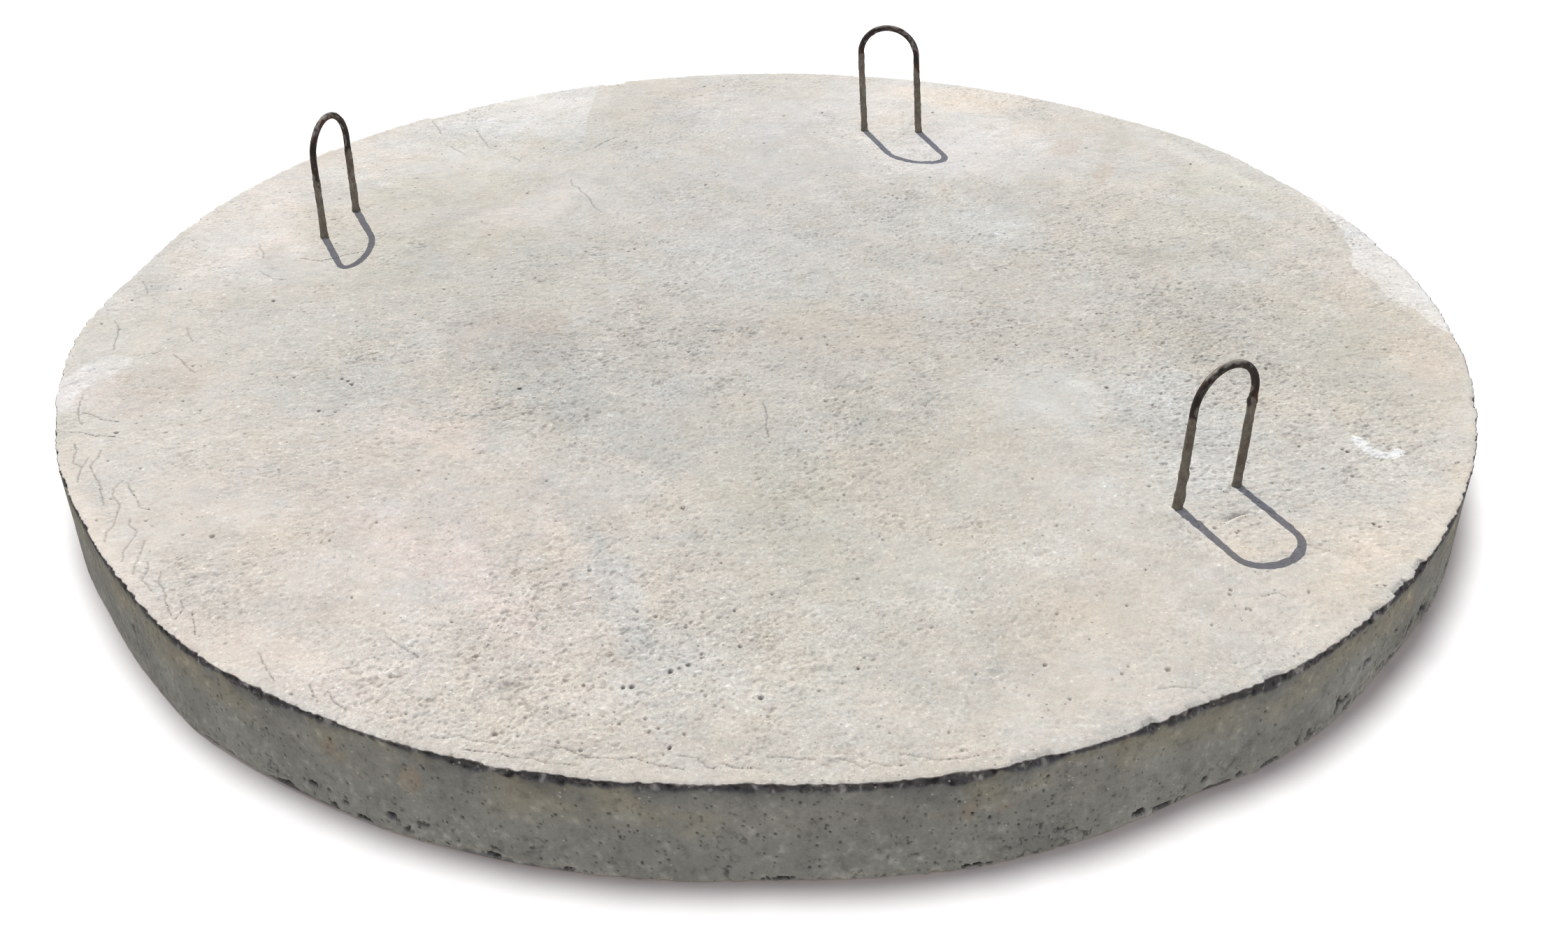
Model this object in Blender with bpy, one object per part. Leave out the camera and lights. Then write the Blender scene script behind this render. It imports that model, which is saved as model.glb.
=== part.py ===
"""Precast reinforced-concrete manhole cover: a round slab with three cast-in lifting loops.

Metres, +Z up. The origin is the centre of the underside, the face that rests on the
manhole wall. The slab is cast around its steel: a mesh of straight bars in two layers, a
ring bar near the rim, three lifting loops whose feet lie on the mesh, the wire ties that
hold the cage together and the mortar blocks that hold it off the casting floor. The
concrete has one connected hollow in which all of that steel lies, a small gap away.
"""

import math

import bmesh
import bpy
from mathutils import Matrix, Vector

# Concrete slab
SLAB_DIAMETER = 1.500
SLAB_THICKNESS = 0.104
RIM_SIDES = 96
ARRIS = 0.002

# What every cast-in piece keeps to the concrete and to its neighbours
GAP = 0.0003

# Reinforcing bars: the same plain round bar everywhere
BAR_DIAMETER = 0.008
BAR_SIDES = 8
BAR_SPACING = 0.150
BARS_BESIDE_MIDDLE = 4
BAR_END_COVER = 0.030
RING_RADIUS = 0.700
RING_SIDES = 60

# Mortar cover blocks under the lower bars
BLOCK_HEIGHT = 0.020
BLOCK_BASE = 0.040
BLOCK_TOP = 0.030
BLOCK_SPOTS = ((0.075, 0.0), (0.375, 0.450), (-0.375, 0.450), (-0.375, -0.450), (0.375, -0.450))

# Lifting loops: name, distance from the centre, bearing, direction of the loop's plane,
# leg spacing, height of the bar's centre line above the slab, lean of the crown
LOOPS = (
    ("left", 0.573, 155.2, 73.0, 0.078, 0.136, 0.004),
    ("rear", 0.551, 72.3, -6.3, 0.073, 0.143, -0.009),
    ("right", 0.549, -41.1, 31.0, 0.073, 0.140, 0.004),
)
ANCHORAGE = 30 * BAR_DIAMETER
BEND_RADIUS = 2.5 * BAR_DIAMETER
BEND_STEPS = 4
CROWN_STEPS = 8
HOOK_HEIGHT = 0.032

# Tie wires
WIRE_DIAMETER = 0.0016
WIRE_SIDES = 6
TIE_TAIL = 0.012
TIE_EVERY = 2
RING_TIE_BARS = (-2, 2)

RADIUS = BAR_DIAMETER / 2
FLAT = RADIUS * math.cos(math.pi / BAR_SIDES)
LAYER_STEP = 2 * FLAT + GAP
LOWER_LAYER = BLOCK_HEIGHT + GAP + FLAT
UPPER_LAYER = LOWER_LAYER + LAYER_STEP
TOP_LAYER = UPPER_LAYER + LAYER_STEP
FOOT_DEPTH = SLAB_THICKNESS - TOP_LAYER
FOOT_LENGTH = ANCHORAGE - FOOT_DEPTH
BAR_NUMBERS = range(-BARS_BESIDE_MIDDLE, BARS_BESIDE_MIDDLE + 1)

X_AXIS = Vector((1, 0, 0))
Y_AXIS = Vector((0, 1, 0))
Z_AXIS = Vector((0, 0, 1))


def make_material(name, colour, roughness, metallic):
    material = bpy.data.materials.new(name)
    material.use_nodes = True
    shader = material.node_tree.nodes["Principled BSDF"]
    shader.inputs["Base Color"].default_value = (*colour, 1)
    shader.inputs["Roughness"].default_value = roughness
    shader.inputs["Metallic"].default_value = metallic
    return material


def add_object(name, bm, material, location=(0, 0, 0), turn=0.0):
    """Turns a bmesh into an object of that name, standing at location and turned about Z."""
    bmesh.ops.recalc_face_normals(bm, faces=bm.faces)
    mesh = bpy.data.meshes.new(name)
    bm.to_mesh(mesh)
    bm.free()
    mesh.materials.append(material)
    mesh.shade_smooth()
    mesh.set_sharp_from_angle(angle=math.radians(50))
    obj = bpy.data.objects.new(name, mesh)
    obj.location = location
    obj.rotation_euler.z = turn
    bpy.context.scene.collection.objects.link(obj)
    return obj


def add_cutter(name, bm, hollows, location=(0, 0, 0), turn=0.0):
    """A shape that is cut out of the concrete and isn't a piece itself."""
    cutter = add_object(name, bm, MATERIALS["concrete"], location, turn)
    bpy.context.scene.collection.objects.unlink(cutter)
    hollows.objects.link(cutter)
    cutter.hide_render = True
    cutter.display_type = "WIRE"
    return cutter


def rounded(corners, radii, steps):
    """A path through corners, with an arc of that radius and number of steps at each inner one."""
    path = [corners[0]]
    for i, (radius, count) in enumerate(zip(radii, steps), start=1):
        into = (corners[i] - corners[i - 1]).normalized()
        out = (corners[i + 1] - corners[i]).normalized()
        turn = into.angle(out)
        towards = (out - into * math.cos(turn)).normalized()
        start = corners[i] - into * radius * math.tan(turn / 2)
        centre = start + towards * radius
        for step in range(count + 1):
            angle = turn * step / count
            spoke = into * math.sin(angle) - towards * math.cos(angle)
            path.append(centre + spoke * radius)
    path.append(corners[-1])
    return path


def lengthened(path, extra):
    """The same open path, reaching a little further at both ends."""
    head = path[0] + (path[0] - path[1]).normalized() * extra
    tail = path[-1] + (path[-1] - path[-2]).normalized() * extra
    return [head, *path[1:-1], tail]


def sweep(path, across, radius, sides, closed=False):
    """A round bar along a flat path, mitred at each point. across is normal to the path's plane."""
    bm = bmesh.new()
    rings = []
    for i, point in enumerate(path):
        before = path[i - 1] if closed or i else None
        after = path[(i + 1) % len(path)] if closed or i + 1 < len(path) else None
        into = (point - before).normalized() if before else (after - point).normalized()
        out = (after - point).normalized() if after else into
        along = (into + out).normalized()
        side = across.cross(along) / along.dot(out)
        ring = []
        for k in range(sides):
            angle = 2 * math.pi * (k + 0.5) / sides
            spoke = across * math.cos(angle) + side * math.sin(angle)
            ring.append(bm.verts.new(point + spoke * radius))
        rings.append(ring)
    pairs = list(zip(rings, rings[1:]))
    if closed:
        pairs.append((rings[-1], rings[0]))
    for first, second in pairs:
        for k in range(sides):
            nearby = (k + 1) % sides
            bm.faces.new((first[k], first[nearby], second[nearby], second[k]))
    if not closed:
        bm.faces.new(rings[0])
        bm.faces.new(rings[-1])
    return bm


def add_bar(name, path, across, hollows, material, closed=False, location=(0, 0, 0), turn=0.0):
    """A steel bar and the hollow that it leaves in the concrete."""
    bar = sweep(path, across, RADIUS, BAR_SIDES, closed)
    hollow_path = path if closed else lengthened(path, GAP)
    hollow = sweep(hollow_path, across, RADIUS + GAP, BAR_SIDES, closed)
    add_object(name, bar, material, location, turn)
    add_cutter("hollow_" + name, hollow, hollows, location, turn)


def half_length(offset):
    """Half the length of a straight bar that lies this far from the slab's centre."""
    reach = SLAB_DIAMETER / 2 - BAR_END_COVER
    return math.sqrt(reach**2 - offset**2)


def add_mesh_bars(hollows):
    """Two layers of straight bars: the lower one along X, the upper one along Y."""
    for number in BAR_NUMBERS:
        offset = number * BAR_SPACING
        label = number + BARS_BESIDE_MIDDLE + 1
        reach = half_length(offset)
        ends = [Vector((s * reach, offset, LOWER_LAYER)) for s in (-1, 1)]
        add_bar(f"mesh_bar_lower_{label}", ends, Z_AXIS, hollows, MATERIALS["bar"])
        ends = [Vector((offset, s * reach, UPPER_LAYER)) for s in (-1, 1)]
        add_bar(f"mesh_bar_upper_{label}", ends, Z_AXIS, hollows, MATERIALS["bar"])


def ring_path():
    """The corners of the hoop near the rim, one after the other."""
    path = []
    for step in range(RING_SIDES):
        angle = 2 * math.pi * (step + 0.5) / RING_SIDES
        path.append(Vector((RING_RADIUS * math.cos(angle), RING_RADIUS * math.sin(angle), TOP_LAYER)))
    return path


def add_ring_bar(hollows):
    """The hoop that ties the ends of the upper bars together near the rim."""
    add_bar("perimeter_ring_bar", ring_path(), Z_AXIS, hollows, MATERIALS["bar"], closed=True)


def loop_path(spacing, height, lean):
    """Half hook, foot, leg, crown, leg, foot, half hook, in the XZ plane; Z is 0 at the slab's top."""
    leg = spacing / 2
    toe = leg + FOOT_LENGTH
    foot = -FOOT_DEPTH
    half = [(toe, foot + HOOK_HEIGHT), (toe, foot), (leg, foot), (leg, height)]
    corners = [Vector((-x, 0, z)) for x, z in half] + [Vector((x, 0, z)) for x, z in reversed(half)]
    radii = (BEND_RADIUS, BEND_RADIUS, leg, leg, BEND_RADIUS, BEND_RADIUS)
    steps = (BEND_STEPS, BEND_STEPS, CROWN_STEPS, CROWN_STEPS, BEND_STEPS, BEND_STEPS)
    path = rounded(corners, radii, steps)
    for point in path:
        point.x += lean * max(point.z, 0) / height
    return path


def loop_place(distance, bearing):
    """The point on the slab's top face midway between a loop's legs."""
    angle = math.radians(bearing)
    return Vector((distance * math.cos(angle), distance * math.sin(angle), SLAB_THICKNESS))


def add_loops(hollows):
    for name, distance, bearing, plane, spacing, height, lean in LOOPS:
        add_bar(
            f"lifting_loop_{name}",
            without_repeats(loop_path(spacing, height, lean)),
            Y_AXIS,
            hollows,
            MATERIALS["loop"],
            location=loop_place(distance, bearing),
            turn=math.radians(plane),
        )


def without_repeats(path):
    """The path with points that fall on the one before left out."""
    kept = [path[0]]
    for point in path[1:]:
        if (point - kept[-1]).length > GAP:
            kept.append(point)
    return kept


def add_cover_blocks(hollows):
    """Small mortar blocks, wider at the foot, that hold the lower bars off the casting floor."""
    slope = (BLOCK_BASE - BLOCK_TOP) / BLOCK_HEIGHT
    below = BLOCK_HEIGHT / 10
    for label, (x, y) in enumerate(BLOCK_SPOTS, start=1):
        block = frustum(BLOCK_BASE, BLOCK_TOP, 0, BLOCK_HEIGHT)
        wide = BLOCK_BASE + slope * below + 2 * GAP
        narrow = BLOCK_TOP - slope * GAP + 2 * GAP
        pocket = frustum(wide, narrow, -below, BLOCK_HEIGHT + GAP)
        add_object(f"cover_block_{label}", block, MATERIALS["mortar"], (x, y, 0))
        add_cutter(f"hollow_cover_block_{label}", pocket, hollows, (x, y, 0))


def frustum(base, top, low, high):
    """A square block with sloping sides."""
    bm = bmesh.new()
    middle = Matrix.Translation((0, 0, (low + high) / 2))
    quarter = Matrix.Rotation(math.pi / 4, 4, "Z")
    corner = math.sqrt(0.5)
    bmesh.ops.create_cone(
        bm,
        cap_ends=True,
        segments=4,
        radius1=base * corner,
        radius2=top * corner,
        depth=high - low,
        matrix=middle @ quarter,
    )
    return bm


def add_tie(name, spot, first, second, low, high, hollows):
    """A wire bent round two crossing bars, whose axes run along first and second at heights low and high.

    It lies in the upright plane that halves the wider angle between the bars, and both of
    its ends stand up side by side."""
    if first.dot(second) > 0:
        second = -second
    plane = (first + second).normalized()
    wire = WIRE_DIAMETER / 2
    wide = RADIUS / abs(plane.cross(first).length) + GAP + wire
    tall = (high - low) / 2 + RADIUS + GAP + wire
    ends = wire + GAP / 2
    half = [(ends, tall + TIE_TAIL), (ends, tall), (wide, tall), (wide, -tall)]
    path = [Vector((-x, 0, z)) for x, z in half] + [Vector((x, 0, z)) for x, z in reversed(half)]
    place = (spot.x, spot.y, (low + high) / 2)
    turn = math.atan2(plane.y, plane.x)
    add_object(name, sweep(path, Y_AXIS, wire, WIRE_SIDES), MATERIALS["wire"], place, turn)
    slot = bmesh.new()
    bmesh.ops.create_cube(slot, size=1)
    outer = wire + GAP
    bottom = -tall - outer
    top = tall + TIE_TAIL + GAP
    size = Matrix.Diagonal((2 * (wide + outer), 2 * outer, top - bottom, 1))
    slot.transform(Matrix.Translation((0, 0, (top + bottom) / 2)) @ size)
    add_cutter("hollow_" + name, slot, hollows, place, turn)


def add_mesh_ties(hollows):
    """Ties where every second lower bar crosses every second upper bar inside the ring."""
    label = 0
    for i in BAR_NUMBERS[::TIE_EVERY]:
        for j in BAR_NUMBERS[::TIE_EVERY]:
            spot = Vector((i * BAR_SPACING, j * BAR_SPACING, 0))
            if spot.length > RING_RADIUS:
                continue
            label += 1
            add_tie(f"tie_wire_mesh_{label:02d}", spot, X_AXIS, Y_AXIS, LOWER_LAYER, UPPER_LAYER, hollows)


def add_ring_ties(hollows):
    """Ties where the ring bar crosses chosen upper bars."""
    path = ring_path()
    label = 0
    for number in RING_TIE_BARS:
        x = number * BAR_SPACING
        for first, second in zip(path, path[1:] + path[:1]):
            if (first.x - x) * (second.x - x) > 0:
                continue
            label += 1
            spot = first.lerp(second, (x - first.x) / (second.x - first.x))
            tangent = (second - first).normalized()
            add_tie(f"tie_wire_ring_{label}", spot, tangent, Y_AXIS, UPPER_LAYER, TOP_LAYER, hollows)


def add_loop_ties(hollows):
    """A tie on each foot of a lifting loop that crosses a bar clear of its bends."""
    for name, distance, bearing, plane, spacing, _, _ in LOOPS:
        middle = loop_place(distance, bearing)
        along = Vector((math.cos(math.radians(plane)), math.sin(math.radians(plane)), 0))
        for label, sign in (("a", -1), ("b", 1)):
            leg = middle + along * sign * spacing / 2
            crossing = first_crossing(leg, along * sign)
            if crossing is None:
                continue
            spot, bar, level = crossing
            add_tie(f"tie_wire_loop_{name}_{label}", spot, along, bar, level, TOP_LAYER, hollows)


def first_crossing(leg, outward):
    """Where a foot first crosses a bar: the spot, the bar's direction and its height, or None."""
    found = []
    clear = 1.5 * BEND_RADIUS
    for number in BAR_NUMBERS:
        offset = number * BAR_SPACING
        for axis, level in ((1, LOWER_LAYER), (0, UPPER_LAYER)):
            reach = (offset - leg[axis]) / outward[axis]
            if clear < reach < FOOT_LENGTH - clear:
                spot = leg + outward * reach
                found.append((reach, spot, X_AXIS if axis else Y_AXIS, level))
    return min(found, key=lambda crossing: crossing[0])[1:] if found else None


def add_slab(hollows):
    """The concrete disc, with a small arris at both rims, cast around everything else."""
    bm = bmesh.new()
    bmesh.ops.create_cone(
        bm,
        cap_ends=True,
        segments=RIM_SIDES,
        radius1=SLAB_DIAMETER / 2,
        radius2=SLAB_DIAMETER / 2,
        depth=SLAB_THICKNESS,
        matrix=Matrix.Translation((0, 0, SLAB_THICKNESS / 2)),
    )
    rims = [edge for edge in bm.edges if abs(edge.verts[0].co.z - edge.verts[1].co.z) < GAP]
    bmesh.ops.bevel(bm, geom=rims, offset=ARRIS, segments=1, affect="EDGES")
    slab = add_object("concrete_slab", bm, MATERIALS["concrete"])
    cut = slab.modifiers.new("cast around the steel", "BOOLEAN")
    cut.operation = "DIFFERENCE"
    cut.solver = "EXACT"
    cut.operand_type = "COLLECTION"
    cut.collection = hollows


def build():
    hollows = bpy.data.collections.new("hollows")
    bpy.context.scene.collection.children.link(hollows)
    add_mesh_bars(hollows)
    add_ring_bar(hollows)
    add_loops(hollows)
    add_cover_blocks(hollows)
    add_mesh_ties(hollows)
    add_ring_ties(hollows)
    add_loop_ties(hollows)
    add_slab(hollows)


for leftover in list(bpy.data.objects):
    bpy.data.objects.remove(leftover)

MATERIALS = {
    "concrete": make_material("concrete", (0.56, 0.53, 0.48), 0.9, 0.0),
    "mortar": make_material("mortar", (0.42, 0.41, 0.38), 0.95, 0.0),
    "loop": make_material("mortar_stained_steel", (0.20, 0.15, 0.11), 0.8, 0.2),
    "bar": make_material("rusty_steel", (0.17, 0.10, 0.07), 0.75, 0.4),
    "wire": make_material("annealed_wire", (0.09, 0.09, 0.09), 0.6, 0.6),
}

build()
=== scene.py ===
import math

import bpy
import numpy as np
from mathutils import Matrix, Vector


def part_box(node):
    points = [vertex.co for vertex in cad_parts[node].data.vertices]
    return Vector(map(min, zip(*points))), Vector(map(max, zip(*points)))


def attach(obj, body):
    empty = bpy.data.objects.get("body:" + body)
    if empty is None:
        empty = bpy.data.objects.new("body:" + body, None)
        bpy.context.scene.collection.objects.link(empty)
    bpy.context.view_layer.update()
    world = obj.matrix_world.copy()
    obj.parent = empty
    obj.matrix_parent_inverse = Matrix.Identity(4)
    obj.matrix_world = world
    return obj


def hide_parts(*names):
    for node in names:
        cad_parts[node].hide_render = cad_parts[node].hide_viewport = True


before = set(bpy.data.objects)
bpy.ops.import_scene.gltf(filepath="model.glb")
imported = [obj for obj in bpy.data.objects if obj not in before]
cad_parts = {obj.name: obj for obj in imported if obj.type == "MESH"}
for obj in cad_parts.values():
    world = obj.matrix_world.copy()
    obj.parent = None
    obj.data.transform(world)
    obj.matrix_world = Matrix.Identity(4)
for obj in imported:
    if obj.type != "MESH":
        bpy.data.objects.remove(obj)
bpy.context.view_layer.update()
scene = bpy.context.scene

SLAB_LOW, SLAB_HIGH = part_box("concrete_slab")
RADIUS = SLAB_HIGH.x * 1000
THICK = (SLAB_HIGH.z - SLAB_LOW.z) * 1000
# Cells across the top face, and four times as many round the rim
GRID = 1200
# The rasters have 1 mm steps: over the top, reaching HALF each way from the centre, and over the wall
HALF = 760
FACE = (2 * HALF + 1, 2 * HALF + 1)
WALL = (round(THICK) + 2, round(2 * math.pi * RADIUS))

# The real outline isn't a true circle: bearing in degrees, how far in from the mould's radius in mm
OUTLINE = (
    (0, 4), (15, 5), (29, 7), (36, 1), (43, 1), (50, 6), (65, 5), (90, 4), (110, 5), (123, 7), (130, 1),
    (142, 2), (155, 4), (163, 7), (168, 11), (172, 12), (175, 8), (178, 4), (183, 0), (190, 3), (198, 7),
    (206, 9), (212, 13), (217, 11), (222, 9), (229, 2), (240, 2), (255, 1), (262, 4), (270, 8), (276, 5),
    (283, 2), (292, 5), (299, 9), (304, 1), (313, 1), (320, 2), (330, 3), (345, 4), (360, 4),
)

# Patches of the trowelled face: x, y, half length and half width in mm, turn in degrees and softness of
# the edge, then how much lighter, warmer and pinker the patch is, in percent
PATCHES = (
    # The rear, pale and clean, with a peach tint by the rim and two brown spots
    (240, 560, 200, 150, 90, 0.35, 12, -1, 1), (240, 250, 90, 60, 0, 0.6, 5, -2, 0),
    (-10, 640, 150, 110, 0, 0.6, 3, -1, 1), (-170, 600, 70, 110, 0, 0.4, -3, 0, 0),
    (255, 665, 85, 38, -18, 0.5, 3, 6, 0), (40, 690, 50, 70, 0, 0.4, -3, 2, -1),
    (395, 465, 38, 20, 60, 0.35, -8, 5, 1), (418, 375, 40, 13, 60, 0.3, -9, 6, 1),
    (470, 480, 42, 14, 70, 0.4, -6, 1, -1), (300, 450, 110, 80, 0, 0.5, 4, -2, 1),
    (570, 410, 130, 16, -42, 0.3, 7, 0, 0), (590, 340, 80, 60, -50, 0.25, -2, 1, -2),
    # The left side: pale at the rim, olive and then dark towards the middle
    (-400, 600, 170, 110, 30, 0.4, 4, 0, 0), (-560, 430, 140, 80, 60, 0.6, 4, 0, 1),
    (-640, 250, 120, 60, 80, 0.5, 10, 0, 1), (-600, 150, 90, 50, 60, 0.6, 8, 0, 1),
    (-280, 310, 75, 48, 50, 0.2, 6, 0, 1), (-395, 330, 110, 46, 12, 0.12, -4, 2, -1),
    (-400, 460, 52, 28, -30, 0.4, -4, 1, -1), (-250, 490, 60, 40, 60, 0.4, -4, -3, 0),
    (-330, 130, 170, 110, 0, 0.5, -2, 0, -1), (-290, -50, 85, 62, -42, 0.2, -8, 0, 1),
    (-230, -150, 115, 50, -50, 0.35, -5, -2, 0), (-140, -240, 90, 38, -55, 0.4, -5, -2, 0),
    (-712, -150, 50, 36, 62, 0.4, 7, -1, 2), (-640, -150, 62, 44, 30, 0.4, -5, 2, 1),
    (-455, -165, 60, 42, 0, 0.4, -4, -1, 0), (-430, 400, 130, 80, 0, 0.5, 9, -1, 0),
    (-450, 260, 90, 50, 0, 0.5, 3, 0, 0),
    # The middle: blue-grey behind, olive in front
    (-20, 360, 260, 160, 80, 0.6, 3, -2, 1), (20, 130, 130, 80, -30, 0.5, 4, -2, 0),
    (-120, 100, 120, 18, -38, 0.4, 4, -1, 0), (300, 190, 130, 40, -35, 0.4, 3, -2, 0),
    (320, -190, 150, 75, -12, 0.3, 4, -2, 0), (10, -370, 130, 60, -70, 0.5, -5, 0, -1),
    (110, -430, 290, 140, 80, 0.6, -3, 2, -1), (490, 230, 90, 60, 0, 0.6, 5, 0, 0),
    (30, -60, 170, 70, 10, 0.6, -3, 1, 0),
    # The right side: darker, with a peach rim and a pale smear
    (500, 190, 100, 92, 0, 0.15, -6, 1, -1), (560, -30, 170, 110, 20, 0.4, -6, 1, -1),
    (650, -150, 120, 60, 62, 0.5, -6, 2, -1), (662, 70, 65, 24, 80, 0.3, 4, 2, 1),
    (702, -80, 70, 24, 72, 0.4, 2, 3, 1), (600, -420, 190, 40, 44, 0.5, 2, 4, 0),
    (450, -430, 45, 40, 0, 0.3, 2, 3, 0), (330, -570, 210, 90, 24, 0.6, -4, 2, 0),
    (380, -330, 60, 50, 40, 0.3, 5, -1, 0),
    # The front left: pinkish, in long strokes down to the rim
    (-360, -450, 260, 190, -35, 0.6, 2, 2, 1), (-640, -390, 190, 36, -58, 0.5, 6, 3, 1),
    (-400, -600, 150, 36, -34, 0.5, 0, 2, 1), (-430, -490, 90, 60, -30, 0.6, -5, 0, 0),
    (-320, -265, 62, 26, -30, 0.4, 7, 2, 2), (-330, -430, 85, 30, -42, 0.4, 0, 1, 2),
    (-250, -480, 140, 20, -62, 0.4, 5, 1, 2), (-185, -430, 120, 14, -66, 0.4, 3, 1, 1),
    (-140, -500, 120, 18, -76, 0.4, -3, -4, 0), (20, -735, 330, 50, 0, 0.6, -7, 2, 0),
    (180, -590, 90, 70, 0, 0.6, -4, 0, 0),
)

# Where the face is torn and stippled: the same first six numbers, then a strength
STIPPLED = (
    (-30, -170, 620, 360, 0, 0.7, 0.22), (-160, -600, 200, 110, 0, 0.6, 0.46),
    (500, -250, 180, 140, 70, 0.5, 0.4), (480, 90, 210, 170, 20, 0.6, 0.3),
    (330, 240, 150, 80, 30, 0.6, 0.18), (0, 60, 260, 200, 0, 0.6, 0.08),
    (-300, -60, 260, 170, -30, 0.6, 0.14), (-560, 60, 90, 170, 0, 0.5, -0.08),
    (280, -600, 130, 110, 0, 0.5, -0.14), (270, -250, 120, 130, 0, 0.5, -0.15),
    (-640, -420, 160, 50, -58, 0.5, -0.1),
)

# Where light sand grains lie in the face: the same seven numbers
SANDY = (
    (-430, -560, 190, 90, -35, 0.6, 0.45), (-250, -600, 160, 90, 0, 0.6, 0.35),
    (0, -640, 220, 90, 0, 0.6, 0.5), (-440, -130, 210, 190, -40, 0.6, 0.5),
    (-400, 60, 150, 110, 0, 0.6, 0.4), (480, -200, 180, 130, 60, 0.6, 0.4),
    (360, 190, 170, 120, 20, 0.6, 0.2), (40, -330, 300, 170, 0, 0.7, 0.18),
    (230, -480, 150, 110, 0, 0.6, 0.15),
)

# Hairline cracks in the face: x and y of point after point, in mm
CRACKS = (
    (-718, -5, -710, -18, -705, -35, -702, -55, -698, -70),
    (-634, -20, -627, -38, -618, -52),
    (-631, -80, -622, -90, -615, -99, -606, -111, -598, -119),
    (-676, -83, -664, -80, -652, -77, -647, -72),
    (-700, -164, -696, -189, -689, -209, -682, -221),
    (-689, -199, -676, -204, -666, -212, -647, -217),
    (-704, -231, -693, -236, -676, -237, -661, -243, -642, -244),
    (-678, -257, -672, -267, -669, -283, -666, -293, -658, -298),
    (-648, -269, -646, -283, -649, -295, -645, -303, -637, -318, -627, -333, -620, -350, -615, -363),
    (-655, -283, -656, -298, -654, -313, -651, -326),
    (-609, -323, -614, -338, -610, -350, -601, -361, -597, -378, -595, -398, -598, -406, -594, -423),
    (-603, -328, -595, -343, -587, -353, -579, -368, -569, -371),
    (-583, -386, -579, -398, -570, -406, -571, -423, -573, -438, -569, -453),
    (-559, -420, -557, -438, -556, -456, -553, -472),
    (-546, -453, -542, -468, -543, -482, -535, -489, -530, -497),
    (-530, -468, -528, -482, -519, -497, -514, -509, -508, -522, -502, -532),
    (-500, -512, -494, -522, -497, -537),
    (-486, -527, -480, -542, -475, -557),
    (-416, -582, -408, -597, -400, -609, -393, -619),
    (-364, -624, -359, -634, -353, -645),
    (-348, -632, -338, -647, -328, -655),
    (-314, -562, -303, -572, -293, -580, -282, -589),
    (-353, -610, -343, -604, -328, -600),
    (-302, -614, -295, -615, -288, -610),
    (-256, -686, -244, -688, -234, -685, -224, -691, -209, -693, -197, -696),
    (-228, -702, -214, -704, -199, -706, -189, -711, -177, -711, -164, -716, -154, -718, -137, -720),
    (-164, -698, -149, -701, -139, -708, -124, -712, -107, -714, -97, -711, -85, -718, -58, -724),
    (-62, -709, -48, -711, -42, -721, -36, -724, -28, -718, -20, -723, -6, -723, 0, -724),
    (5, -711, 20, -712, 32, -714, 42, -714),
    (58, -713, 70, -716, 78, -724, 86, -718, 99, -722, 109, -721),
    (107, -709, 124, -712, 134, -716, 154, -715, 167, -711),
    (318, -635, 333, -633, 348, -635),
    (428, -514, 443, -510, 450, -515),
    (-463, 569, -458, 557, -450, 542, -443, 522),
    (-403, 542, -395, 532, -388, 512, -378, 492, -373, 477, -363, 469),
    (-423, 479, -416, 468, -403, 456),
    (-343, 446, -333, 440, -323, 426),
    (-251, 368, -249, 350, -239, 343, -234, 328, -224, 313, -219, 298, -214, 283, -204, 269),
    (-204, 507, -214, 497, -224, 484, -229, 472),
    (-716, 90, -708, 78, -701, 60),
    (-607, 189, -602, 174, -594, 159, -592, 149),
    (-587, 114, -577, 104, -567, 94, -552, 92),
    (-547, 147, -537, 144, -522, 139, -512, 144, -497, 154, -477, 164),
    (-2, -187, 3, -212, 2, -233, 4, -253),
)

# Broken places on the top arris: bearing, length along the rim, reach inwards, depth, in degrees and mm
CHIPS = (
    (294.2, 22, 7, 5), (287, 16, 5, 4), (286, 50, 3, 3), (317.7, 26, 8, 5), (321, 18, 7, 5),
    (314.5, 15, 6, 4), (304, 20, 5, 4), (298, 30, 4, 3), (107.5, 42, 12, 7), (126.8, 60, 9, 7),
    (231, 14, 4, 3), (243, 20, 4, 3), (160, 14, 4, 3), (60, 25, 4, 3), (12, 30, 4, 3), (80, 18, 4, 3),
    (345, 24, 4, 3), (140, 20, 3, 3),
)

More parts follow.
